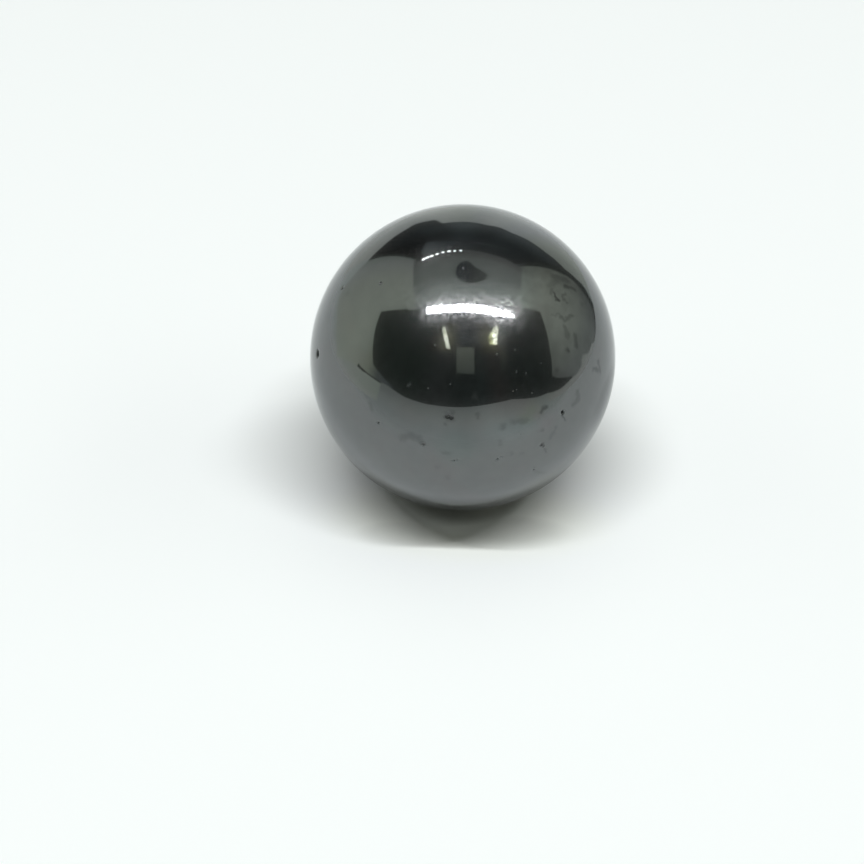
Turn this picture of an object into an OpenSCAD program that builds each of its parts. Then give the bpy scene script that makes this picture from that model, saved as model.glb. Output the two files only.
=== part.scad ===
// Polished magnet ball: one solid of sintered ferrite, ground round and polished to a mirror.
// The origin is the ball's centre, +Z is up and -Y is the side with the open pores.
// All lengths are in millimetres and all angles in degrees.

/* [Ball] */
// Diameter of the polished ball
ball_d = 30; // [15:0.5:50]

/* [Pores] */
// Width, at the surface, of the widest open pore
pore_w = 0.8; // [0.3:0.05:1.2]
// Depth of the widest open pore below the surface
pore_depth = 0.2; // [0.05:0.01:0.25]

/* [Hidden] */
ball_r = ball_d / 2;
ball_facets = 180;
pore_facets = 36;

// Open pores as [azimuth from -Y towards +X, elevation, size as a share of the widest].
// Pores with nearly the same place run into each other and make one ragged chip.
PORES = [
    [-69, 17.5, 1.00],
    [-4.1, 21.4, 0.50], [-3.0, 21.0, 0.40],
    [38, 15, 0.55],
    [29, 5.6, 0.45], [29.8, 4.6, 0.35],
    [13, 3.9, 0.35], [14.1, 4.8, 0.25],
    [-2.3, 4, 0.25], [-1.5, 4.1, 0.30], [-0.7, 4.3, 0.25],
    [-12, 9.5, 0.35],
    [-29, 12.7, 0.30],
    [-78, 41.5, 0.45],
    [-57, 55, 0.35],
    [27, -6, 0.30]
];

// A pore is the bowl that a small sphere leaves in the ball. Its mouth is `w` wide and its
// bottom lies `depth` under the surface. `cap` is the height of the ball's own surface over
// the plane of the mouth, so the bowl alone is `depth - cap` deep.
module pore(w, depth) {
    cap = ball_r - sqrt(pow(ball_r, 2) - pow(w / 2, 2));
    bowl = depth - cap;
    bowl_r = (pow(w / 2, 2) + pow(bowl, 2)) / (2 * bowl);
    translate([0, -(ball_r - depth + bowl_r), 0])
        sphere(r = bowl_r, $fn = pore_facets);
}

// The ball, with every pore turned from -Y to its azimuth and elevation.
module ball() {
    color([0.24, 0.25, 0.25])
        difference() {
            sphere(r = ball_r, $fn = ball_facets);
            for (p = PORES)
                rotate([-p[1], 0, p[0]])
                    pore(pore_w * p[2], pore_depth * p[2]);
        }
}

ball();
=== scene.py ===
"""Polished magnet ball on white paper, inside a small light box.

The ball is one closed surface with open pores in it, dressed in a procedural polished ferrite.
Its mirrored surroundings are cards that only reflections see.
The origin is the ball's centre, +Z is up, -Y is the side with the pores. Lengths are in metres.
"""

import math

import bpy
import numpy as np
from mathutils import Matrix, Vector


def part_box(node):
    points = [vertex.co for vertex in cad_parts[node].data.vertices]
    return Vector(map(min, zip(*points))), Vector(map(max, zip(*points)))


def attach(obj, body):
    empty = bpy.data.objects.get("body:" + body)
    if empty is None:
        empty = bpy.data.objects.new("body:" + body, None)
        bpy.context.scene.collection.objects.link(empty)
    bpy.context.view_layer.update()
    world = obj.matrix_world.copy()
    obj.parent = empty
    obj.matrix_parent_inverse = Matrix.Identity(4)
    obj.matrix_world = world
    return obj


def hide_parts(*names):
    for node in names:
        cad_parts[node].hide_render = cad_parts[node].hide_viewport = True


bl_info = {
    "name": "Polished magnet ball",
    "version": (1, 0, 0),
    "blender": (4, 5, 0),
    "location": "View3D > Sidebar > Magnet ball",
    "description": "Makes a polished ferrite magnet ball and the light box it lies in",
    "category": "Object",
}

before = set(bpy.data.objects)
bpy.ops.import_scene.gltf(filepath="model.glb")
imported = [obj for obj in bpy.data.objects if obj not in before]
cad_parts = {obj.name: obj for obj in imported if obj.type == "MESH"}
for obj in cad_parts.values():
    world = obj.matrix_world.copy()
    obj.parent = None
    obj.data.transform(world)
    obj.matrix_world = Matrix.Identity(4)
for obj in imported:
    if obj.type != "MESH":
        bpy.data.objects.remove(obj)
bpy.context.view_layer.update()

MM = 0.001
NODE = "ball"
BALL_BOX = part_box(NODE)
BALL_RADIUS = min(high - low for low, high in zip(*BALL_BOX)) / 2
PAPER_LEVEL = BALL_BOX[0][2]

# Open pores as (azimuth from -Y towards +X, elevation, size as a share of the widest),
# the same as in the part's source.
PORES = (
    (-69, 17.5, 1.00),
    (-4.1, 21.4, 0.50), (-3.0, 21.0, 0.40),
    (38, 15, 0.55),
    (29, 5.6, 0.45), (29.8, 4.6, 0.35),
    (13, 3.9, 0.35), (14.1, 4.8, 0.25),
    (-2.3, 4, 0.25), (-1.5, 4.1, 0.30), (-0.7, 4.3, 0.25),
    (-12, 9.5, 0.35),
    (-29, 12.7, 0.30),
    (-78, 41.5, 0.45),
    (-57, 55, 0.35),
    (27, -6, 0.30),
)
# Where the grid is drawn together, one place for each pore or group of close pores.
PORE_PLACES = (
    (-69, 17.5), (-3.6, 21.2), (38, 15), (29.3, 5.2), (13.5, 4.3), (-1.5, 4.1),
    (-12, 9.5), (-29, 12.7), (-78, 41.5), (-57, 55), (27, -6),
)

# How the pores' rims leave the circle: share, number of sines, their frequency and their seed.
RIM_UNEVEN = 0.12
RIM_WAVES = 7
RIM_FREQUENCY = 60
RIM_SEED = 11
# Angle from a pore's axis within which its bowl is looked for.
PORE_REACH = 0.2

# Tarnish on the polish as (azimuth, elevation, radius in mm, strength).
TARNISH_SPOTS = (
    (69.0, 42.0, 0.40, 0.35), (47.3, 34.2, 0.36, 0.60), (38.8, 30.3, 0.30, 0.40),
    (14.7, 16.7, 0.46, 0.28), (29.0, 11.6, 0.28, 0.30), (29.4, 5.2, 0.42, 0.35),
    (-4.8, 18.3, 0.28, 0.30), (-12.4, 10.0, 0.40, 0.40), (-3.6, -4.5, 0.45, 0.14),
    (-6.8, 0.6, 0.50, 0.14), (17.9, 5.4, 0.40, 0.16), (21.8, 4.3, 0.40, 0.16),
    (27.2, -4.8, 0.26, 0.30), (-71.0, 43.0, 0.35, 0.20), (-3.5, 21.3, 0.75, 0.45),
)
# Feathery strokes of tarnish as (points that the stroke runs through, half width in mm, strength).
TARNISH_STROKES = (
    (((57.7, 52.2), (56.4, 50.8), (57.1, 49.3)), 0.24, 0.85),
    (((58.3, 53.5), (55.0, 52.8)), 0.28, 0.30),
    (((63.9, 49.1), (60.1, 49.1), (61.1, 46.8)), 0.26, 0.42),
    (((67.2, 56.1), (71.0, 53.3), (73.6, 50.5)), 0.50, 0.35),
    (((67.7, 51.0), (70.3, 49.2), (72.5, 46.7)), 0.36, 0.55),
    (((58.3, 55.0), (65.7, 54.3)), 0.50, 0.28),
    (((48.5, 46.9), (52.7, 45.2)), 0.24, 0.28),
    (((51.8, 45.1), (52.4, 43.0), (58.8, 42.6)), 0.30, 0.42),
    (((51.1, 41.2), (50.1, 37.8)), 0.38, 0.36),
    (((54.3, 36.8), (52.4, 33.8)), 0.40, 0.42),
    (((61.7, 22.6), (61.3, 18.6), (57.5, 22.0)), 0.34, 0.46),
    (((46.0, 19.4), (46.1, 16.5), (43.0, 15.5)), 0.42, 0.30),
    (((38.1, 13.8), (39.3, 10.8)), 0.20, 0.50),
    (((34.4, 10.1), (32.4, 6.8)), 0.36, 0.20),
    (((29.8, 4.1), (31.3, 1.2)), 0.20, 0.30),
    (((27.8, -7.4), (32.7, -11.3)), 0.24, 0.20),
    (((31.4, 19.7), (29.6, 18.8)), 0.36, 0.55),
    (((18.6, 17.8), (23.2, 17.0)), 0.44, 0.24),
    (((6.3, 22.4), (6.3, 20.8)), 0.26, 0.35),
    (((13.7, 11.4), (13.8, 9.6)), 0.24, 0.18),
    (((-19.8, 9.8), (-17.2, 11.9), (-13.3, 11.2)), 0.55, 0.26),
    (((-5.2, 7.2), (-3.5, 6.8)), 0.40, 0.18),
    (((-33.4, 18.1), (-32.2, 16.3)), 0.30, 0.22),
)
# Dull specks that catch the lamp as (azimuth, elevation, radius in mm).
SPECKS = (
    (-12.0, 43.7, 0.12), (-4.1, 31.9, 0.13), (-12.2, 29.7, 0.14), (19.4, 28.4, 0.14),
    (20.8, 28.6, 0.10), (26.6, 26.1, 0.13), (32.9, 34.6, 0.12), (14.9, 41.0, 0.14),
    (23.1, 41.2, 0.10), (25.6, 33.1, 0.12), (21.1, 12.5, 0.09),
)
# Pale, hazy spots in the polish as (azimuth, elevation, radius in mm, strength).
HAZE_SPOTS = (
    (-19.3, 29.8, 0.55, 0.9), (5.2, 28.5, 0.65, 0.8), (21.2, 34.0, 0.42, 0.9),
    (23.6, 29.6, 0.42, 0.8), (25.5, 32.8, 0.38, 0.8), (-23.1, 44.2, 0.60, 0.6),
)
# Coloured films on the polish as (azimuth, elevation, radius in mm, tint).
FILM_SPOTS = (
    (24.2, 19.7, 1.5, (1.0, 1.03, 0.88)),
    (28.3, 18.0, 1.0, (1.06, 0.97, 0.94)),
    (31.1, 14.4, 1.4, (1.05, 0.98, 1.0)),
    (-1.0, 9.5, 2.8, (0.95, 1.02, 1.0)),
    (19.0, 26.0, 3.0, (1.08, 0.96, 0.97)),
)
SCRATCH = (((37.0, 41.0), (32.1, 38.6)), 0.15, 0.6)
# Stretch of finely worn polish as (points that it runs through, half width in mm, strength).
WORN = (((-22, 52), (-10, 54), (0, 55), (11, 54), (21, 52), (28, 49)), 3.4, 1.0)
# Where the grain is denser or more closed as (azimuth, elevation, radius in mm, change of share).
GRAIN_SPOTS = ((-4.0, 51.0, 2.6, -0.30), (30.5, 54.5, 2.4, 1.00), (7.0, 51.5, 1.8, -0.25))
# Pores that dust fills as (azimuth, elevation, radius in mm, share that it covers).
DUSTY_PORES = (
    (-3.6, 21.2, 2.4, 1.0), (-12, 9.5, 1.5, 0.9), (29.3, 5.2, 1.8, 0.8), (-57, 55, 1.5, 0.9),
)
DUST_COLOUR = (0.032, 0.034, 0.034, 1.0)
# Depths under the polish, in mm, over which a pore's rim, its darkness (partly painted shade) and its
# dust set in.
MOUTH_DEPTHS = (0.004, 0.04)
DARK_DEPTHS = (0.006, 0.11)
DUST_DEPTHS = (0.002, 0.014)

# Ferrite's index of refraction. It mirrors 15% of what meets it head on.
FERRITE_IOR = 2.26
# Tint of the mirror at a grazing angle.
GRAZING_TINT = (0.79, 0.80, 0.81, 1.0)
# Noise in waves a metre: frayed edges of marks, waves of the polish, fine wear, and the grain's
# mottle and speckle.
FRAY_WAVES = 2400.0
POLISH_WAVES = 330.0
WEAR_WAVES = 3300.0
MOTTLE_WAVES = 900.0
SPECKLE_WAVES = 3200.0
# How far frayed edges wander, and the height of the polish's waves, in metres.
FRAY_REACH = 0.7 * MM
RELIEF_HEIGHT = 2.5e-6
# Share of a spot's or stroke's radius inside which it is full.
FULL_SHARE = 0.15

# Share of the cards' glow that the mirror throws on the paper.
THROWN_SHARE = 0.25
# Length and width of the lamp and its place, in metres.
LAMP_SIZE = (2.391, 0.05)
LAMP_PLACE = (0.067, -0.4725, 2.1)
# The lamp's colour and the faintly warm colour of the soft light round it.
LAMP_TINT = (1.0, 0.998, 1.025)
SKY_TINT = (1.0, 1.01, 0.91, 1.0)
# The light from above leans this much towards +Y and sets in between these heights on the unit
# sphere. The light from the sides sets in between these distances aside, and between these heights.
SKY_LEAN = 0.2
SKY_EDGE = (0.857, 0.959)
SIDE_EDGE = (0.70, 0.85)
SIDE_HEIGHTS = (0.40, 0.50)
# Half the width of the paper, and how far out it starts and ends to fade, in metres.
PAPER_HALF = 2.0
PAPER_FADE = (0.35, 0.85)
# Small lamps along the ceiling's rear edge as (x, y, radius) in mm.
REAR_LAMPS = (
    (-100, 119, 5.4), (-90, 121, 5.2), (-79, 122, 5.0), (-65, 124, 4.4), (-51, 127, 4.0),
    (-37, 128, 4.2), (-24, 127, 3.2), (-10, 128, 3.4),
)
# Ovals of painted shadow on the paper as (centre, half lengths, share that is full), in mm, with a
# strength after them. They correct the lamp's shadow. The first is the darkest painted shadow, close
# under the ball.
UNDER_BALL = ((0.5, -0.9), (9.1, 9.1), 0.74)
PAPER_SHADE = (
    ((-2.5, 1.0), (29.0, 12.8), 0.55, 0.15),
    ((5.0, -9.2), (8.0, 2.9), 0.40, 0.18),
    ((-6.0, -10.2), (5.5, 2.4), 0.40, 0.12),
    UNDER_BALL + (0.46,),
)
# The same, painted shadow on paper that is seen in the ball only.
MIRRORED_SHADE = (((0.0, 0.0), (16.0, 16.0), 0.75, 0.45), ((27.0, 9.0), (15.0, 13.0), 0.40, 0.22))
# Painted light: a faint glow of the paper in this oval, apart from close under the ball.
BOUNCE = ((-0.6, -0.4), (10.9, 10.9), 0.80)
BOUNCE_GLOW = 0.027
# Oval of painted warm shade in front of the ball, where less blue is left in the paper's colour.
WARM_PAINTED_SHADE = ((1.0, -8.0), (18.0, 7.0), 0.45, 0.06)


def place(azimuth, elevation, radius=1.0):
    """Point at these angles in degrees: azimuth from -Y towards +X, elevation up from level."""
    turn, rise = math.radians(azimuth), math.radians(elevation)
    level = math.cos(rise)
    return (radius * math.sin(turn) * level, -radius * math.cos(turn) * level, radius * math.sin(rise))


# ---------------------------------------------------------------- shapes


def cube_grid(cells):
    """Closed grid over a cube of side `cells`: its whole-numbered surface points, each point once,
    and its squares. A point is (axis, next axis, axis after) = (0 or cells, i, j); the two grid
    directions change places on the low sides, so every square faces outwards."""
    i, j = np.meshgrid(np.arange(cells + 1), np.arange(cells + 1), indexing="ij")
    sides = []
    for axis in range(3):
        for high in (True, False):
            points = np.empty((cells + 1, cells + 1, 3), int)
            points[..., axis] = cells if high else 0
            points[..., (axis + 1) % 3] = i if high else j
            points[..., (axis + 2) % 3] = j if high else i
            sides.append(points)
    points, index = np.unique(np.reshape(sides, (-1, 3)), axis=0, return_inverse=True)
    index = index.reshape(6, cells + 1, cells + 1)
    corners = (index[:, :-1, :-1], index[:, 1:, :-1], index[:, 1:, 1:], index[:, :-1, 1:])
    return points, np.stack(corners, axis=-1).reshape(-1, 4)


def sphere_directions(points, cells):
    """Unit vectors of the cube's points. A coordinate c from -1 to 1 goes to tan(c * 45 degrees),
    which evens out the squares, and the vector is then divided by its length."""
    spread = np.tan((points / cells * 2 - 1) * math.pi / 4)
    return spread / np.linalg.norm(spread, axis=1, keepdims=True)


def gather(directions, centre, reach, tightness):
    """Draws the grid together round `centre`. A direction at angle a from it goes to the angle
    a * (1 - (1 - tightness) * (1 - (a / reach) ** 2) ** 2) along the same great circle, and
    directions beyond `reach` stay where they are."""
    along = directions @ centre
    angle = np.arccos(np.clip(along, -1, 1))
    aside = directions - along[:, None] * centre
    length = np.linalg.norm(aside, axis=1)
    aside /= np.maximum(length, 1e-12)[:, None]
    share = np.clip(1 - (angle / reach) ** 2, 0, 1)
    nearer = angle * (1 - (1 - tightness) * share**2)
    moved = np.cos(nearer)[:, None] * centre + np.sin(nearer)[:, None] * aside
    return np.where((share > 0)[:, None] & (length > 1e-9)[:, None], moved, directions)


def raggedness(directions, waves, seed):
    """Smooth value from about -1 to 1 on the sphere: the sum of `waves` sines, each along its own
    seeded direction, times 0.7 over the root of their number. It makes pore rims a little uneven."""
    rng = np.random.default_rng(seed)
    axes = rng.normal(size=(waves, 3)) * RIM_FREQUENCY
    starts = rng.uniform(0, 2 * math.pi, waves)
    return np.sin(directions @ axes.T + starts).mean(axis=1) * math.sqrt(waves) * 0.7


def pored_radius(directions, radius, width, depth):
    """Distance of the surface from the centre. Outside the pores it is the ball's radius. Inside a
    pore it is where the direction enters the pore's own sphere, whose centre is c away:
    c cos(a) - sqrt(r^2 - c^2 sin(a)^2), with a the angle from the pore's axis and r the pore
    sphere's radius. The angle is stretched by about a tenth, so that no rim is a true circle."""
    out = np.full(len(directions), radius)
    uneven = 1 + RIM_UNEVEN * raggedness(directions, RIM_WAVES, RIM_SEED)
    for azimuth, elevation, share in PORES:
        half, deep = width * share / 2, depth * share
        bowl = deep - (radius - math.sqrt(radius**2 - half**2))
        bowl_radius = (half**2 + bowl**2) / (2 * bowl)
        centre = radius - deep + bowl_radius
        angle = np.arccos(np.clip(directions @ np.array(place(azimuth, elevation)), -1, 1)) * uneven
        inside = bowl_radius**2 - (centre * np.sin(angle)) ** 2
        near = (inside > 0) & (angle < PORE_REACH)
        bottom = centre * np.cos(angle) - np.sqrt(np.where(near, inside, 0))
        out = np.where(near, np.minimum(out, bottom), out)
    return out


def ball_surface(radius, width, depth, cells=128, reach=math.radians(6.5), tightness=0.22):
    """Points and squares of the pored ball: unit directions of an even cube grid, drawn together at
    the pores, each multiplied by the surface's distance from the centre."""
    points, squares = cube_grid(cells)
    directions = sphere_directions(points, cells)
    for azimuth, elevation in PORE_PLACES:
        directions = gather(directions, np.array(place(azimuth, elevation)), reach, tightness)
    return directions * pored_radius(directions, radius, width, depth)[:, None], squares


def mesh_object(name, points, faces, smooth=False):
    """Object at the origin whose mesh has these points and these faces of one size."""
    mesh = bpy.data.meshes.new(name)
    faces = np.asarray(faces)
    mesh.from_pydata(np.asarray(points, float), [], faces.tolist())
    mesh.polygons.foreach_set("use_smooth", np.full(len(faces), smooth))
    mesh.update()
    made = bpy.data.objects.new(name, mesh)
    bpy.context.scene.collection.objects.link(made)
    return made


# ---------------------------------------------------------------- nodes


def node(tree, kind, inputs=None, **settings):
    """Adds a node. `inputs` gives its sockets values, or the sockets that feed them."""
    made = tree.nodes.new("ShaderNode" + kind)
    for name, value in settings.items():
        setattr(made, name, value)
    for key, value in (inputs or {}).items():
        if isinstance(value, bpy.types.NodeSocket):
            tree.links.new(value, made.inputs[key])
        else:
            made.inputs[key].default_value = value
    return made


def calc(tree, operation, *values):
    """Result of a Math node with these values."""
    return node(tree, "Math", dict(enumerate(values)), operation=operation).outputs[0]


def vector(tree, operation, *values, output="Vector"):
    """Result of a Vector Math node with these values."""
    return node(tree, "VectorMath", dict(enumerate(values)), operation=operation).outputs[output]


def remap(tree, value, low, high, to_low=0.0, to_high=1.0):
    """Smooth step that takes `value` from low..high to to_low..to_high."""
    inputs = {"Value": value, "From Min": low, "From Max": high, "To Min": to_low, "To Max": to_high}
    return node(tree, "MapRange", inputs, interpolation_type="SMOOTHSTEP").outputs[0]


def noise(tree, where, scale, detail=3.0):
    """Noise from 0 to 1 at this many waves a metre."""
    inputs = {"Vector": where, "Scale": scale, "Detail": detail, "Roughness": 0.55}
    return node(tree, "TexNoise", inputs).outputs[0]


def blend(tree, share, first, second):
    """Colour from first at share 0 to second at share 1."""
    return node(tree, "Mix", {0: share, 6: first, 7: second}, data_type="RGBA").outputs[2]


def spot(tree, where, azimuth, elevation, radius, strength=1.0):
    """Mask of a soft round spot on the ball, `radius` in mm."""
    centre = place(azimuth, elevation, BALL_RADIUS)
    away = vector(tree, "DISTANCE", where, centre, output="Value")
    return remap(tree, away, radius * MM, radius * MM * FULL_SHARE, 0.0, strength)


def stroke(tree, where, points, half_width, strength):
    """Mask of a soft stroke on the ball that runs through `points`: how near a point is to the
    nearest of the stroke's straight stretches."""
    places = [np.array(place(*at, BALL_RADIUS)) for at in points]
    stretches = [from_stretch(tree, where, *pair) for pair in zip(places, places[1:])]
    away = stretches[0]
    for other in stretches[1:]:
        away = calc(tree, "MINIMUM", away, other)
    half = half_width * MM
    return remap(tree, away, half, half * FULL_SHARE, 0.0, strength)


def from_stretch(tree, where, first, last):
    """Distance to the straight line from first to last. The nearest point on it is
    first + t (last - first), with t held between 0 and 1."""
    along = last - first
    offset = vector(tree, "SUBTRACT", where, tuple(first))
    share = vector(tree, "DOT_PRODUCT", offset, tuple(along / (along @ along)), output="Value")
    held = node(tree, "Clamp", {"Value": share}).outputs[0]
    reached = node(tree, "VectorMath", {0: tuple(along), "Scale": held}, operation="SCALE").outputs[0]
    return vector(tree, "DISTANCE", offset, reached, output="Value")


def strongest(tree, masks):
    """The greatest of several masks at each point."""
    result = masks[0]
    for mask in masks[1:]:
        result = calc(tree, "MAXIMUM", result, mask)
    return result


def new_material(name):
    """Empty material and its node tree."""
    material = bpy.data.materials.new(name)
    material.use_nodes = True
    material.node_tree.nodes.clear()
    return material, material.node_tree


# ---------------------------------------------------------------- ferrite


def times(colour, tint):
    """Colour multiplied by a tint, with full alpha."""
    return tuple(c * t for c, t in zip(colour, tint)) + (1.0,)


def open_grain(tree, where, look, tarnish, depth, worn):
    """Share of the surface that is open grain, dull between the polished stretches. It varies a
    little from place to place, and more in worn polish. Half of it is lost under tarnish, and there
    is none in the pores' dark bottoms."""
    mottle = noise(tree, where, MOTTLE_WAVES, 2.0)
    share = remap(tree, mottle, 0.35, 0.65, look.grain * 0.94, look.grain * 1.06)
    for azimuth, elevation, radius, change in GRAIN_SPOTS:
        more = spot(tree, where, azimuth, elevation, radius, change * look.grain)
        share = calc(tree, "ADD", share, more)
    speckle = remap(tree, noise(tree, where, SPECKLE_WAVES, 1.0), 0.35, 0.65, -0.5, 0.5)
    share = calc(tree, "MULTIPLY", share, calc(tree, "MULTIPLY_ADD", speckle, worn, 1.0))
    covered = calc(tree, "MAXIMUM", calc(tree, "MULTIPLY", tarnish, 0.5), depth)
    return calc(tree, "MULTIPLY", share, calc(tree, "SUBTRACT", 1.0, covered))


def ferrite_colour(tree, where, frayed, look, tarnish, depth):
    """Share of light that the ferrite mirrors: faint warm and cool clouds, coloured films, dark
    tarnish and nearly black pore bottoms, partly dull grain and partly painted shade."""
    cloud = remap(tree, noise(tree, where, 170.0), 0.35, 0.65)
    warmth = noise(tree, vector(tree, "ADD", where, (0.05, 0.02, 0.0)), 260.0)
    warmth = remap(tree, warmth, 0.50, 0.72, 0.0, 0.5)
    pale, deep = times(look.ferrite, (1.02, 1.02, 1.02)), times(look.ferrite, (0.98, 0.98, 0.99))
    colour = blend(tree, cloud, deep, pale)
    colour = blend(tree, warmth, colour, times(look.ferrite, (1.06, 0.98, 0.99)))
    for azimuth, elevation, radius, tint in FILM_SPOTS:
        film = spot(tree, frayed, azimuth, elevation, radius)
        colour = blend(tree, film, colour, times(look.ferrite, tint))
    colour = blend(tree, tarnish, colour, times(look.ferrite, (0.12, 0.14, 0.14)))
    # Pore bottoms darkened by depth: partly dull grain, partly painted shade in the hollows.
    return blend(tree, depth, colour, times(look.ferrite, (0.10, 0.10, 0.10)))


def ferrite_dullness(tree, where, frayed, look, tarnish, mouth):
    """Roughness of the ferrite: the best polish, and the masks of what is duller."""
    haze = strongest(tree, [spot(tree, frayed, *at) for at in HAZE_SPOTS])
    speck = strongest(tree, [spot(tree, where, *at) for at in SPECKS])
    duller = (
        (tarnish, 0.16), (haze, 0.34), (speck, 0.50), (stroke(tree, where, *SCRATCH), 0.36),
        (mouth, 0.50),
    )
    levels = [calc(tree, "MULTIPLY", mask, level) for mask, level in duller]
    return calc(tree, "MAXIMUM", strongest(tree, levels), look.polish)


def fray(tree, where):
    """The place, moved a little by noise, so that what is drawn there gets uneven edges."""
    inputs = {"Vector": where, "Scale": FRAY_WAVES, "Detail": 3.0}
    colour = node(tree, "TexNoise", inputs).outputs["Color"]
    wander = vector(tree, "SUBTRACT", colour, (0.5, 0.5, 0.5))
    shift = node(tree, "VectorMath", {0: wander, "Scale": FRAY_REACH}, operation="SCALE").outputs[0]
    return vector(tree, "ADD", where, shift)


def pore_masks(tree, where):
    """Masks of the pores' rims and their dark bottoms (partly painted shade), both free of dust, of the
    dust in some pores, and of all that is free of it. They go by how far a point lies under the polish."""
    from_centre = vector(tree, "LENGTH", where, output="Value")
    mouth, depth, inside = [
        remap(tree, from_centre, *(BALL_RADIUS - under * MM for under in depths))
        for depths in (MOUTH_DEPTHS, DARK_DEPTHS, DUST_DEPTHS)]
    dusty = strongest(tree, [spot(tree, where, *at) for at in DUSTY_PORES])
    dust = calc(tree, "MULTIPLY", dusty, inside)
    clean = calc(tree, "SUBTRACT", 1.0, dust)
    return calc(tree, "MULTIPLY", mouth, clean), calc(tree, "MULTIPLY", depth, clean), dust, clean


def tarnish_mask(tree, frayed, look):
    """Mask of all the tarnished spots and strokes."""
    marks = [spot(tree, frayed, *at) for at in TARNISH_SPOTS]
    marks += [stroke(tree, frayed, *at) for at in TARNISH_STROKES]
    return calc(tree, "MULTIPLY", strongest(tree, marks), look.tarnish)


def polish_relief(tree, where, look, worn):
    """Normal of the polish: long shallow waves, and fine wear where it is worn."""
    wave = noise(tree, where, POLISH_WAVES, 1.0)
    fine = calc(tree, "MULTIPLY", noise(tree, where, WEAR_WAVES, 2.0), worn)
    height = calc(tree, "MULTIPLY_ADD", fine, look.wear, wave)
    inputs = {"Height": height, "Distance": RELIEF_HEIGHT, "Strength": 1.0}
    return node(tree, "Bump", inputs).outputs[0]


def ferrite_material(look):
    """Polished ferrite. Its base colour is the share of light that the mirror throws back, and its
    coat is the open grain, which throws the same light back as a soft glow. Dust lies in some of
    the pores and is no mirror."""
    material, tree = new_material("polished_ferrite")
    where = node(tree, "TexCoord").outputs["Object"]
    frayed = fray(tree, where)
    mouth, depth, dust, clean = pore_masks(tree, where)
    tarnish = tarnish_mask(tree, frayed, look)
    worn = stroke(tree, where, *WORN)
    colour = ferrite_colour(tree, where, frayed, look, tarnish, depth)
    shader = node(tree, "BsdfPrincipled", {
        "Base Color": blend(tree, dust, colour, DUST_COLOUR),
        "Roughness": ferrite_dullness(tree, where, frayed, look, tarnish, mouth),
        "Metallic": clean,
        "Normal": polish_relief(tree, where, look, worn),
        "Specular Tint": GRAZING_TINT,
        "Coat Weight": open_grain(tree, where, look, tarnish, depth, worn),
        "Coat Roughness": look.grain_dullness,
        "Coat IOR": FERRITE_IOR,
    })
    out = node(tree, "OutputMaterial")
    tree.links.new(shader.outputs[0], out.inputs["Surface"])
    return material


# ---------------------------------------------------------------- stage


def oval(tree, where, centre, half, core, strength):
    """Mask of a soft oval on the paper, with its centre and half lengths in mm. It is full inside
    the share `core` of the oval."""
    offset = vector(tree, "SUBTRACT", where, (centre[0] * MM, centre[1] * MM, 0.0))
    scaled = vector(tree, "MULTIPLY", offset, (1 / (half[0] * MM), 1 / (half[1] * MM), 0.0))
    return remap(tree, vector(tree, "LENGTH", scaled, output="Value"), 1.0, core, 0.0, strength)


def painted_contact_shadow(tree, where):
    """Painted shadow: the colour by which the paper's white is multiplied close round the ball. It is a
    little darker beside the ball and under it, darker still where the ball mirrors it, and warmer in
    front."""
    # Painted shadow on the paper round the ball, seen directly and in the ball.
    seen_shade = [oval(tree, where, *at) for at in PAPER_SHADE]
    # Painted shadow that only the ball's reflection shows.
    mirrored_shade = strongest(tree, [oval(tree, where, *at) for at in MIRRORED_SHADE])
    glossy = node(tree, "LightPath").outputs["Is Glossy Ray"]
    lost = strongest(tree, seen_shade + [calc(tree, "MULTIPLY", mirrored_shade, glossy)])
    left = calc(tree, "SUBTRACT", 1.0, lost)
    # Painted warm shade: less blue in the paper's colour in front of the ball.
    warmer = calc(tree, "SUBTRACT", 1.0, oval(tree, where, *WARM_PAINTED_SHADE))
    blue = calc(tree, "MULTIPLY", left, warmer)
    return node(tree, "CombineXYZ", {0: left, 1: left, 2: blue}).outputs[0]


def near_paper(tree, where, look):
    """White paper with the painted shadow round the ball and the faint painted light beside it."""
    white = vector(tree, "MULTIPLY", painted_contact_shadow(tree, where), tuple(look.paper))
    sheet = node(tree, "BsdfDiffuse", {"Color": white}).outputs[0]
    # Painted light: the paper glows faintly beside the ball, but not close under it.
    lit, covered = [oval(tree, where, *at, BOUNCE_GLOW) for at in (BOUNCE, UNDER_BALL)]
    glow = calc(tree, "SUBTRACT", lit, covered)
    colour = tuple(look.paper) + (1.0,)
    thrown = node(tree, "Emission", {"Color": colour, "Strength": glow}).outputs[0]
    return node(tree, "AddShader", {0: sheet, 1: thrown}).outputs[0]


def paper_material(look):
    """White paper. It keeps the ball's shadow, and far out it fades into the background's colour
    for rays that come from the camera or from a mirror."""
    material, tree = new_material("white_paper")
    where = node(tree, "TexCoord").outputs["Object"]
    fade = remap(tree, vector(tree, "LENGTH", where, output="Value"), *PAPER_FADE)
    sheet = near_paper(tree, where, look)
    colour = tuple(look.paper) + (1.0,)
    plain = node(tree, "Emission", {"Color": colour, "Strength": 1.0}).outputs[0]
    share = calc(tree, "MULTIPLY", fade, seen(tree))
    mixed = node(tree, "MixShader", {0: share, 1: sheet, 2: plain}).outputs[0]
    out = node(tree, "OutputMaterial")
    tree.links.new(mixed, out.inputs["Surface"])
    return material


def seen(tree):
    """1 for rays from the camera, off a glossy surface or through a clear one, else 0."""
    path = node(tree, "LightPath").outputs
    direct = calc(tree, "ADD", path["Is Camera Ray"], path["Is Glossy Ray"])
    total = calc(tree, "ADD", direct, path["Is Transmission Ray"])
    return node(tree, "Clamp", {"Value": total}).outputs[0]


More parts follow.
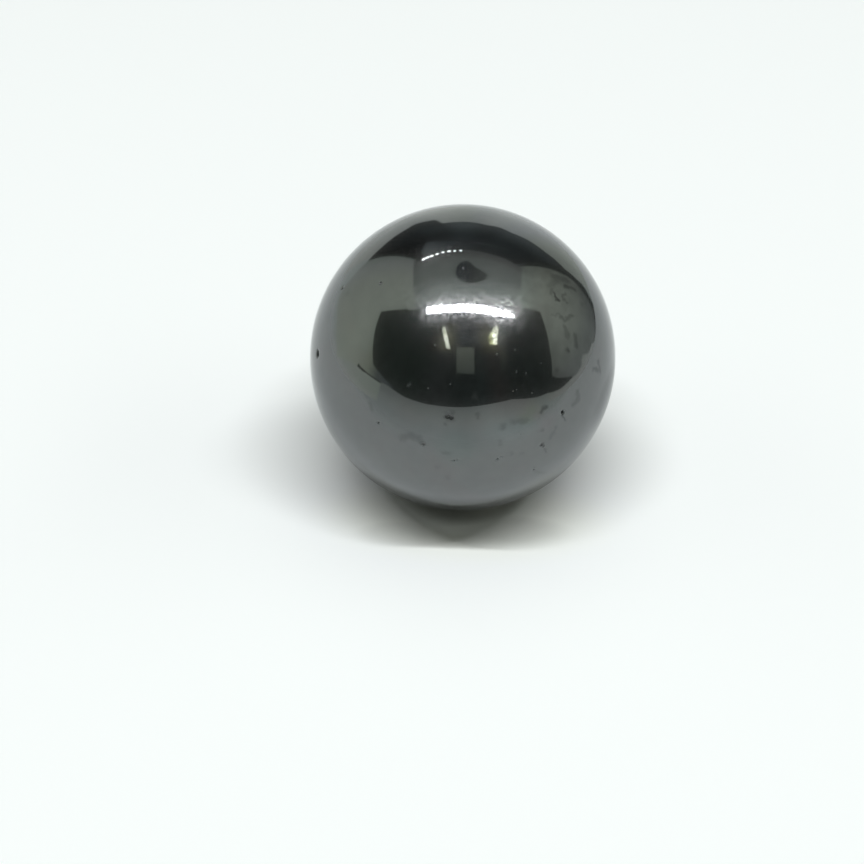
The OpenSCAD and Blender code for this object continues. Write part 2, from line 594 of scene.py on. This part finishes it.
def run(tree, where, axis, stops):
    """Colour that runs through `stops`, pairs of a place in mm along `axis` and a colour."""
    first, last = stops[0][0], stops[-1][0]
    along = node(tree, "SeparateXYZ", {0: where}).outputs[axis]
    share = node(tree, "MapRange", {"Value": along, "From Min": first * MM, "From Max": last * MM})
    ramp = node(tree, "ValToRGB", {0: share.outputs[0]})
    while len(ramp.color_ramp.elements) < len(stops):
        ramp.color_ramp.elements.new(0.5)
    for element, (at, colour) in zip(ramp.color_ramp.elements, stops):
        element.position = (at - first) / (last - first)
        element.color = tuple(colour) + (1.0,)
    return ramp.outputs[0]


def card_material(name, glow, shade=None, cloth=0.0, strength=1.0, clear=None):
    """Glow whose colour runs through the stops of `glow`, an axis and stops, and is multiplied by
    that of `shade`, across it. `cloth` is how uneven the glow is. `clear` gives the places in mm
    along Y between which the card fades from clear to full. What the mirror throws on the paper is
    held down, so that the ball's shadow stays deep."""
    material, tree = new_material(name)
    where = node(tree, "TexCoord").outputs["Object"]
    colour = run(tree, where, *glow)
    if shade:
        colour = vector(tree, "MULTIPLY", colour, run(tree, where, *shade))
    bounces = node(tree, "LightPath").outputs["Diffuse Depth"]
    level = remap(tree, bounces, 0.0, 1.0, strength, strength * THROWN_SHARE)
    if cloth:
        uneven = remap(tree, noise(tree, where, 45.0), 0.3, 0.7, 1 - cloth, 1 + cloth)
        level = calc(tree, "MULTIPLY", uneven, level)
    surface = node(tree, "Emission", {"Color": colour, "Strength": level}).outputs[0]
    if clear:
        along = node(tree, "SeparateXYZ", {0: where}).outputs["Y"]
        share = remap(tree, along, *(at * MM for at in clear))
        through = node(tree, "BsdfTransparent").outputs[0]
        surface = node(tree, "MixShader", {0: share, 1: through, 2: surface}).outputs[0]
    out = node(tree, "OutputMaterial")
    tree.links.new(surface, out.inputs["Surface"])
    return material


def grey(level):
    """Colour of this level."""
    return (level, level, level)


def card(name, axis, level, outline, *look, **more):
    """Flat card across `axis` (0, 1, 2 for X, Y, Z) at `level` in mm, seen only in reflections.
    The outline gives its corners as pairs of the two other coordinates, in mm. The rest goes to
    card_material."""
    outline = np.array(outline, float)
    points = np.insert(outline, axis, level, axis=1) * MM
    made = mesh_object(name, points, [np.arange(len(points))])
    made.data.materials.append(card_material(name, *look, **more))
    return for_reflections(made)


def for_reflections(made):
    """Hides a stage object from the camera, from paper and from shadows."""
    made.visible_camera = False
    made.visible_diffuse = False
    made.visible_transmission = False
    made.visible_volume_scatter = False
    made.visible_shadow = False
    return made


def make_walls():
    """Left wall, right wall and ceiling of the light box."""
    card("left_wall", 0, -130,
         [(141, -15), (141, 48), (138, 228), (-52, 228), (-48, 215), (-2, 95), (-22, 71), (-43, 49),
          (-58, 34), (-82, 32), (-111, 29), (-136, 25), (-108, 23.5), (-78, 19), (-51, 15.8),
          (-38, 14.6), (-31, 15), (-31, -15)],
         (1, [(-136, (0.07, 0.085, 0.09)), (-98, (0.20, 0.23, 0.24)), (-72, (0.225, 0.26, 0.24)),
              (-50, (0.62, 0.69, 0.55)), (-25, (0.80, 0.88, 0.75)), (0, (0.87, 0.95, 0.81)),
              (70, (0.755, 0.81, 0.71)), (112, (0.66, 0.70, 0.66)), (133, (0.52, 0.575, 0.52)),
              (141, (0.42, 0.47, 0.43))]), cloth=0.03)
    card("right_wall", 0, 150,
         [(131, 100), (131, 232), (-30, 232), (-26, 215), (-1, 127), (-26, 95), (-47, 65),
          (-59, 42), (-68, 26), (-56, 15), (-43, 7), (-26, -3), (-20, -16), (50, -16), (61, -13),
          (80, -11), (98, -6.5), (110, 0), (124, 21), (130, 39)],
         (2, [(-15, (0.36, 0.39, 0.37)), (12, (0.45, 0.49, 0.46)), (42, (0.61, 0.66, 0.58)),
              (75, (0.67, 0.73, 0.63)), (122, (0.80, 0.86, 0.73)), (232, (0.82, 0.93, 0.82))]),
         (1, [(-80, grey(0.5)), (-60, grey(0.62)), (-38, grey(0.8)), (0, grey(1.0)),
              (58, grey(0.93)), (85, grey(0.78)), (110, grey(0.58)), (147, grey(0.5))]), cloth=0.12)
    card("ceiling", 2, 215,
         [(-132, -48), (-132, 137), (-111, 122), (-101, 138), (-59, 141), (-35, 141), (-7, 133),
          (23, 131), (58, 129), (113, 129), (138, 122), (156, 124), (156, -26), (60, -40)],
         (1, [(-48, (0.82, 0.90, 0.84)), (10, (0.69, 0.755, 0.69)), (40, (0.50, 0.55, 0.50)),
              (70, (0.45, 0.49, 0.455)), (95, (0.40, 0.43, 0.40)), (110, (0.29, 0.30, 0.285)),
              (141, (0.24, 0.255, 0.25))]),
         (0, [(-132, grey(0.80)), (-100, grey(0.95)), (-65, grey(0.97)), (0, grey(0.98)),
              (50, grey(1.06)), (110, grey(1.14)), (156, grey(1.08))]), cloth=0.03)


def make_rear():
    """White paper up the back, the darkness over it, and the lining's flap under the ceiling."""
    card("back_paper", 1, 150,
         [(-140, -15), (-140, 51), (-104, 54), (-81, 51), (-64, 49), (-49, 43), (-40, 48), (-31, 53),
          (-27, 77), (5, 78), (25, 82), (40, 78), (58, 82), (80, 75), (110, 70), (146, 50),
          (157, 12), (157, -15)],
         (0, [(-140, (0.81, 0.84, 0.77)), (-75, (0.86, 0.90, 0.86)), (-44, (0.86, 0.90, 0.86)),
              (-26, (0.98, 1.02, 0.96)), (0, (0.87, 0.92, 0.85)), (12, (0.86, 0.91, 0.88)),
              (30, (0.99, 1.04, 1.00)), (60, (0.91, 0.95, 0.95)), (92, (0.79, 0.84, 0.76)),
              (120, (0.68, 0.73, 0.65))]))
    card("rear_dark", 1, 153.5,
         [(-134, 30), (154, 30), (154, 330), (-134, 330)],
         (2, [(50, (0.16, 0.20, 0.195)), (98, (0.20, 0.245, 0.255)), (118, (0.14, 0.175, 0.175)),
              (137, (0.085, 0.11, 0.115)), (330, (0.075, 0.10, 0.10))]),
         (0, [(-134, grey(0.0)), (-104, grey(0.16)), (-67, grey(0.24)), (-54, grey(0.41)),
              (-31, grey(0.45)), (-8, grey(0.95)), (8, grey(0.88)), (24, grey(0.6)),
              (42, grey(0.58)), (59, grey(0.73)), (91, grey(0.6)), (125, grey(0.48)),
              (151, grey(0.33)), (154, grey(0.05))]))
    card("rear_flap", 1, 152.5,
         [(-111, 244), (-105, 199), (-94, 183), (-71, 152), (-52, 165), (-30, 175), (-7, 180),
          (30, 180), (67, 181), (92, 174), (92, 180), (57, 189), (22, 192), (-19, 194), (-30, 206),
          (-38, 244)],
         (0, [(-111, (0.24, 0.28, 0.28)), (-70, (0.19, 0.22, 0.23)), (-51, (0.113, 0.141, 0.148)),
              (-32, (0.07, 0.097, 0.108)), (10, (0.056, 0.055, 0.066)), (31, (0.16, 0.175, 0.19)),
              (53, (0.12, 0.16, 0.145)), (94, (0.12, 0.15, 0.145))]))


def make_paper_edges():
    """White paper that curls up at the sides and in front, and lies in the camera's shade there."""
    shaded = (1, [(-88, (0.78, 0.84, 0.83)), (-60, (0.82, 0.88, 0.87)), (-36, (0.90, 0.95, 0.94))])
    across = (0, [(-130, (0.85, 0.87, 0.87)), (-60, (0.96, 0.97, 0.96)), (-42, (0.99, 1.0, 0.99)),
                  (-19, (1.08, 1.08, 1.08)), (5, (0.98, 0.99, 0.99)), (30, (1.20, 1.22, 1.22)),
                  (50, (1.06, 1.12, 1.11)), (75, (0.98, 1.00, 0.99)), (100, (0.93, 0.95, 0.91)),
                  (150, (0.90, 0.92, 0.88))])
    foot = (2, [(-15, (1.16, 1.10, 1.16)), (-2, (1.0, 1.0, 1.0)), (60, (1.0, 1.0, 1.0))])
    card("paper_front", 2, -14.8, [(-130, -88), (150, -88), (150, -28), (-130, -28)], shaded, across,
         clear=(-28, -60))
    card("paper_lip", 1, -88,
         [(-130, -15), (150, -15), (150, 3.5), (128, 5.5), (105, 8), (58, 17), (30, 16), (4, 14),
          (-36, 13), (-65, 14), (-108, 20.5), (-130, 20.5)],
         (2, [(-15, (0.78, 0.84, 0.83)), (-4, (0.74, 0.785, 0.76)), (5, (0.65, 0.69, 0.66)),
              (14, (0.55, 0.58, 0.56)), (22, (0.58, 0.63, 0.58))]), across)
    card("paper_left", 0, -129.5,
         [(150, -15), (150, 51), (138, 48), (110, 21), (102, 6), (88, 2), (52, 5), (22, -4),
          (13, -12), (-15, 5), (-31, 10), (-44, 11.8), (-51, 13.9), (-78, 17), (-108, 20.5),
          (-108, -15)],
         (1, [(-98, (0.70, 0.79, 0.69)), (-48, (0.80, 0.88, 0.78)), (0, (0.86, 0.93, 0.86)),
              (60, (0.86, 0.94, 0.90)), (150, (0.80, 0.87, 0.83))]), foot)
    card("paper_right", 0, 149.5,
         [(55, -15), (42, -7), (33, -8), (25, -6.5), (11, 3), (5, 0), (1, -5), (-14, -7.5),
          (-27, -4.5), (-55, -5), (-63, -3.5), (-77, -0.5), (-88, 3.5), (-88, -15)],
         (1, [(-88, (0.66, 0.70, 0.62)), (0, (0.74, 0.78, 0.72)), (36, (0.78, 0.84, 0.78))]), foot)
    card("paper_right_rear", 0, 149.5,
         [(150, -15), (150, 26), (143, 3), (130, -7), (118, -15)],
         (1, [(118, (0.70, 0.77, 0.72)), (150, (0.70, 0.77, 0.72))]))


def lamp_card(name, axis, level, outline, glow, strength):
    """Card of one bright colour."""
    stops = [(-500, glow), (500, glow)]
    card(name, axis, level, outline, (0, stops), strength=strength)


def make_lamps():
    """What shines under the ceiling: the strip at its front edge, the row of small lamps along its
    rear edge, and the hole over the ball with a glint in it."""
    lamp_card("strip_lamp", 2, 214.5,
              [(-98, -47), (-100, -68), (-47, -69), (86, -70), (128, -66), (148, -58), (146, -51),
               (109, -48), (48, -46), (0, -49)],
              (0.99, 1.0, 1.02), 37.5)
    turns = np.arange(8) * math.pi / 4
    for number, (across, along, radius) in enumerate(REAR_LAMPS):
        outline = [(across + radius * math.cos(turn), along + radius * math.sin(turn))
                   for turn in turns]
        lamp_card(f"rear_lamp_{number}", 2, 213.5, outline, (1.0, 1.0, 1.0), 16.0)
    card("lamp_hole", 2, 214,
         [(-21, 46), (-18, 62), (-10, 76), (3, 85), (14, 77), (23, 63), (39, 54), (54, 42), (45, 27),
          (31, 18), (13, 11), (-5, 17), (-17, 30)],
         (0, [(-21, (0.02, 0.035, 0.055)), (5, (0.05, 0.065, 0.075)), (20, (0.022, 0.032, 0.035)),
              (26, (0.035, 0.055, 0.048)), (55, (0.047, 0.063, 0.055))]))
    lamp_card("hole_glint", 2, 213.5, [(-5, 56.5), (-2, 56.5), (-2, 59.5), (-5, 59.5)],
              (1.0, 1.0, 1.0), 4.0)


def make_room():
    """What the open front shows of the room: a window, two warm lamps, the bright core of the right
    one, and a pale door."""
    card("window", 1, -150, [(-15, 166), (31, 168), (26, 88), (-10, 89)],
         (2, [(88, (0.24, 0.28, 0.24)), (158, (0.41, 0.445, 0.37))]))
    card("warm_lamp_left", 1, -150, [(-82, 294), (-70, 292), (-30, 158), (-41, 160)],
         (2, [(160, (4.0, 4.0, 3.3)), (200, (6.4, 6.4, 5.4)), (240, (5.4, 5.4, 4.2)),
              (294, (3.0, 3.0, 2.6))]), cloth=0.35)
    card("warm_lamp_right", 1, -150,
         [(132, 310), (155, 324), (141, 280), (118, 225), (104, 190), (80, 184), (79, 214), (102, 256),
          (118, 284)],
         (2, [(184, (2.8, 2.8, 1.5)), (225, (3.9, 3.9, 1.9)), (262, (3.8, 3.8, 2.5)),
              (324, (4.2, 4.2, 3.4))]), cloth=0.85)
    card("warm_lamp_core", 1, -149.5,
         [(146, 300), (136, 262), (116, 222), (104, 188), (92, 190), (97, 222), (112, 256), (130, 290)],
         (2, [(188, (6.0, 6.0, 4.6)), (215, (9.0, 9.0, 7.4)), (262, (6.6, 6.6, 5.2)),
              (300, (5.4, 5.4, 4.4))]), cloth=0.8)
    card("pale_door", 1, -151, [(114, 178), (136, 180), (101, 94), (87, 95)],
         (2, [(94, (0.10, 0.12, 0.105)), (150, (0.17, 0.185, 0.15)), (180, (0.10, 0.115, 0.10))]))


def make_dark_room():
    """Box of dark cloth round the light box, open below, and two cards of lamplit haze high up
    before its front and its right side. All are seen only in reflections."""
    low, high = np.array((-134, -200, -14.5)) * MM, np.array((154, 154, 430)) * MM
    corner = np.array([[x, y, z] for z in (0, 1) for x, y in ((0, 0), (1, 0), (1, 1), (0, 1))])
    faces = [(0, 1, 5, 4), (1, 2, 6, 5), (2, 3, 7, 6), (3, 0, 4, 7), (4, 5, 6, 7)]
    made = mesh_object("dark_room", low + corner * (high - low), faces)
    stops = [(-134, (0.045, 0.063, 0.052)), (-60, (0.072, 0.083, 0.080)), (0, (0.036, 0.050, 0.046)),
             (60, (0.048, 0.066, 0.062)), (100, (0.074, 0.074, 0.068)), (154, (0.048, 0.062, 0.056))]
    made.data.materials.append(card_material("dark_room", (0, stops), cloth=0.3))
    for_reflections(made)
    haze = (2, [(200, grey(0.35)), (228, grey(0.55)), (262, grey(1.0)), (300, grey(1.0)),
                (330, grey(0.6)), (428, grey(0.4))])
    card("front_haze", 1, -199, [(-133, 200), (153, 200), (153, 428), (-133, 428)],
         (0, [(-133, (0.05, 0.055, 0.045)), (-105, (0.09, 0.095, 0.075)), (-90, (0.30, 0.30, 0.24)),
              (-70, (0.62, 0.60, 0.44)), (-47, (0.34, 0.33, 0.22)), (-20, (0.20, 0.21, 0.19)),
              (0, (0.14, 0.16, 0.17)), (60, (0.13, 0.14, 0.14)), (90, (0.20, 0.20, 0.14)),
              (130, (0.36, 0.35, 0.26)), (153, (0.34, 0.35, 0.33))]), haze)
    card("side_haze", 0, 153.5, [(-199, 200), (150, 200), (150, 428), (-199, 428)],
         (1, [(-199, (0.31, 0.33, 0.33)), (150, (0.25, 0.28, 0.28))]), haze)


def make_paper(look):
    """Paper that the ball lies on, far wider than the view."""
    corners = ((-1, -1), (1, -1), (1, 1), (-1, 1))
    points = [(x * PAPER_HALF, y * PAPER_HALF, PAPER_LEVEL) for x, y in corners]
    made = mesh_object("paper", points, [(0, 1, 2, 3)])
    made.data.materials.append(paper_material(look))


def make_lamp(look):
    """Long soft strip over the front of the ball. It lights the paper at a plain level, and mirrors
    show its card instead."""
    data = bpy.data.lights.new("strip", "AREA")
    data.shape = "RECTANGLE"
    data.size, data.size_y = LAMP_SIZE
    data.energy = look.lamp_power
    data.color = LAMP_TINT
    made = bpy.data.objects.new("strip", data)
    made.location = LAMP_PLACE
    made.visible_glossy = False
    made.visible_camera = False
    bpy.context.scene.collection.objects.link(made)


def make_world(look):
    """Background in the paper's colour for what is seen. For the rest it is plain soft light from
    above and from both sides."""
    world = bpy.data.worlds.new("studio")
    world.use_nodes = True
    tree = world.node_tree
    tree.nodes.clear()
    towards = node(tree, "SeparateXYZ", {0: node(tree, "TexCoord").outputs["Generated"]}).outputs
    leaning = calc(tree, "MULTIPLY_ADD", towards[1], SKY_LEAN, towards[2])
    above = remap(tree, leaning, *SKY_EDGE, 0.0, look.top_light)
    left = remap(tree, towards[0], -SIDE_EDGE[0], -SIDE_EDGE[1], 0.0, look.left_light)
    right = remap(tree, towards[0], *SIDE_EDGE, 0.0, look.right_light)
    raised = remap(tree, towards[2], *SIDE_HEIGHTS)
    aside = calc(tree, "MULTIPLY", calc(tree, "MAXIMUM", left, right), raised)
    level = calc(tree, "MAXIMUM", above, aside)
    light = node(tree, "Background", {"Color": SKY_TINT, "Strength": level})
    back = node(tree, "Background", {"Color": tuple(look.paper) + (1.0,), "Strength": 1.0})
    mixed = node(tree, "MixShader", {0: seen(tree), 1: light.outputs[0], 2: back.outputs[0]})
    out = node(tree, "OutputWorld")
    tree.links.new(mixed.outputs[0], out.inputs["Surface"])
    bpy.context.scene.world = world


def make_camera(look):
    """Camera at the set angle and distance from the ball's centre, level, and turned so that the
    ball stands right of and above the middle of the view by the set slopes."""
    rise, away = look.camera_elevation, look.camera_distance
    right, up = look.ball_right, look.ball_up
    norm = math.sqrt(1 + right**2 + up**2)
    yaw = math.asin(right / norm / math.cos(rise))
    fall = math.atan2(math.sin(rise), math.cos(rise) * math.cos(yaw)) + math.atan(up)
    data = bpy.data.cameras.new("camera")
    data.lens = look.lens
    data.sensor_width = 36.0
    data.clip_start = 0.001
    data.clip_end = 10.0
    made = bpy.data.objects.new("camera", data)
    made.location = (0, -away * math.cos(rise), away * math.sin(rise))
    made.rotation_euler = (math.pi / 2 - fall, 0, yaw)
    bpy.context.scene.collection.objects.link(made)
    bpy.context.scene.camera = made


# ---------------------------------------------------------------- settings, operators and panel


class MagnetBallSettings(bpy.types.PropertyGroup):
    """Sizes and colours of the ball."""

    radius: bpy.props.FloatProperty(
        name="Radius", description="Radius of the polished ball",
        default=BALL_RADIUS, unit="LENGTH", precision=5)
    pore_width: bpy.props.FloatProperty(
        name="Pore width", description="Width of the widest open pore at the surface",
        default=0.8 * MM, unit="LENGTH", precision=5)
    pore_depth: bpy.props.FloatProperty(
        name="Pore depth", description="Depth of the widest open pore",
        default=0.2 * MM, unit="LENGTH", precision=5)
    ferrite: bpy.props.FloatVectorProperty(
        name="Ferrite", description="Share of light that the polished ferrite mirrors",
        default=(0.107, 0.114, 0.114), subtype="COLOR", min=0, max=1)
    grain: bpy.props.FloatProperty(
        name="Open grain", description="Share of the surface that is open grain",
        default=0.28, subtype="FACTOR", min=0, max=1)
    polish: bpy.props.FloatProperty(
        name="Polish", description="Roughness of the best polished ferrite",
        default=0.042, subtype="FACTOR", min=0, max=1)
    grain_dullness: bpy.props.FloatProperty(
        name="Grain dullness", description="Roughness of the open grain in the polish",
        default=0.27, subtype="FACTOR", min=0, max=1)
    tarnish: bpy.props.FloatProperty(
        name="Tarnish", description="Strength of the tarnish marks",
        default=1.0, subtype="FACTOR", min=0, max=1)
    wear: bpy.props.FloatProperty(
        name="Wear", description="Height of the fine wear by the lamp's reflection",
        default=1.3, min=0)


class MagnetStageSettings(bpy.types.PropertyGroup):
    """Paper, light and camera."""

    paper: bpy.props.FloatVectorProperty(
        name="Paper", description="Colour of the paper and the background",
        default=(0.915, 0.958, 0.949), subtype="COLOR", min=0, max=1)
    lamp_power: bpy.props.FloatProperty(
        name="Lamp power", description="Power of the strip lamp over the ball",
        default=43.8, unit="POWER", min=0)
    top_light: bpy.props.FloatProperty(
        name="Top light", description="Strength of the soft light from above",
        default=0.844, min=0)
    left_light: bpy.props.FloatProperty(
        name="Left light", description="Strength of the soft light from the left",
        default=1.62, min=0)
    right_light: bpy.props.FloatProperty(
        name="Right light", description="Strength of the soft light from the right",
        default=2.60, min=0)
    camera_elevation: bpy.props.FloatProperty(
        name="Camera elevation", description="Angle of the camera above level, from the ball",
        default=math.radians(40), subtype="ANGLE", unit="ROTATION")
    camera_distance: bpy.props.FloatProperty(
        name="Camera distance", description="Distance of the camera from the ball's centre",
        default=0.0902, unit="LENGTH")
    lens: bpy.props.FloatProperty(
        name="Lens", description="Focal length of the camera on a 36 mm sensor",
        default=37.6, unit="CAMERA")
    ball_right: bpy.props.FloatProperty(
        name="Ball to the right", description="Slope of the ball to the right of the view's middle",
        default=0.0331)
    ball_up: bpy.props.FloatProperty(
        name="Ball up", description="Slope of the ball above the view's middle",
        default=0.0806)


class MAGNET_OT_polished_ball(bpy.types.Operator):
    """Makes the pored ball and dresses it in polished ferrite"""

    bl_idname = "magnet.polished_ball"
    bl_label = "Make polished ball"

    def execute(self, context):
        look = context.scene.magnet_ball
        points, squares = ball_surface(look.radius, look.pore_width, look.pore_depth)
        ball = mesh_object("polished_ball", points, squares, smooth=True)
        ball.data.materials.append(ferrite_material(look))
        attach(ball, "root")
        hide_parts(NODE)
        return {"FINISHED"}


class MAGNET_OT_stage(bpy.types.Operator):
    """Makes the paper, the light box, the lamp, the background and the camera"""

    bl_idname = "magnet.stage"
    bl_label = "Make stage"

    def execute(self, context):
        look = context.scene.magnet_stage
        make_paper(look)
        make_walls()
        make_rear()
        make_paper_edges()
        make_lamps()
        make_room()
        make_dark_room()
        make_lamp(look)
        make_world(look)
        make_camera(look)
        context.scene.view_settings.view_transform = "Standard"
        return {"FINISHED"}


class MAGNET_PT_panel(bpy.types.Panel):
    """Lists the ball's and the stage's settings and operators"""

    bl_idname = "MAGNET_PT_panel"
    bl_label = "Magnet ball"
    bl_space_type = "VIEW_3D"
    bl_region_type = "UI"
    bl_category = "Magnet ball"

    def draw(self, context):
        for settings, operator in (
            (context.scene.magnet_ball, MAGNET_OT_polished_ball),
            (context.scene.magnet_stage, MAGNET_OT_stage),
        ):
            box = self.layout.box()
            for name in settings.__annotations__:
                box.prop(settings, name)
            box.operator(operator.bl_idname)


CLASSES = (
    MagnetBallSettings,
    MagnetStageSettings,
    MAGNET_OT_polished_ball,
    MAGNET_OT_stage,
    MAGNET_PT_panel,
)


def register():
    """Registers the classes and hangs their settings on the scene."""
    for kind in CLASSES:
        bpy.utils.register_class(kind)
    bpy.types.Scene.magnet_ball = bpy.props.PointerProperty(type=MagnetBallSettings)
    bpy.types.Scene.magnet_stage = bpy.props.PointerProperty(type=MagnetStageSettings)


def unregister():
    """Takes the settings off the scene and the classes away."""
    del bpy.types.Scene.magnet_stage
    del bpy.types.Scene.magnet_ball
    for kind in reversed(CLASSES):
        bpy.utils.unregister_class(kind)


def main():
    """Makes everything in order."""
    register()
    bpy.ops.magnet.polished_ball()
    bpy.ops.magnet.stage()


if __name__ == "__main__":
    main()
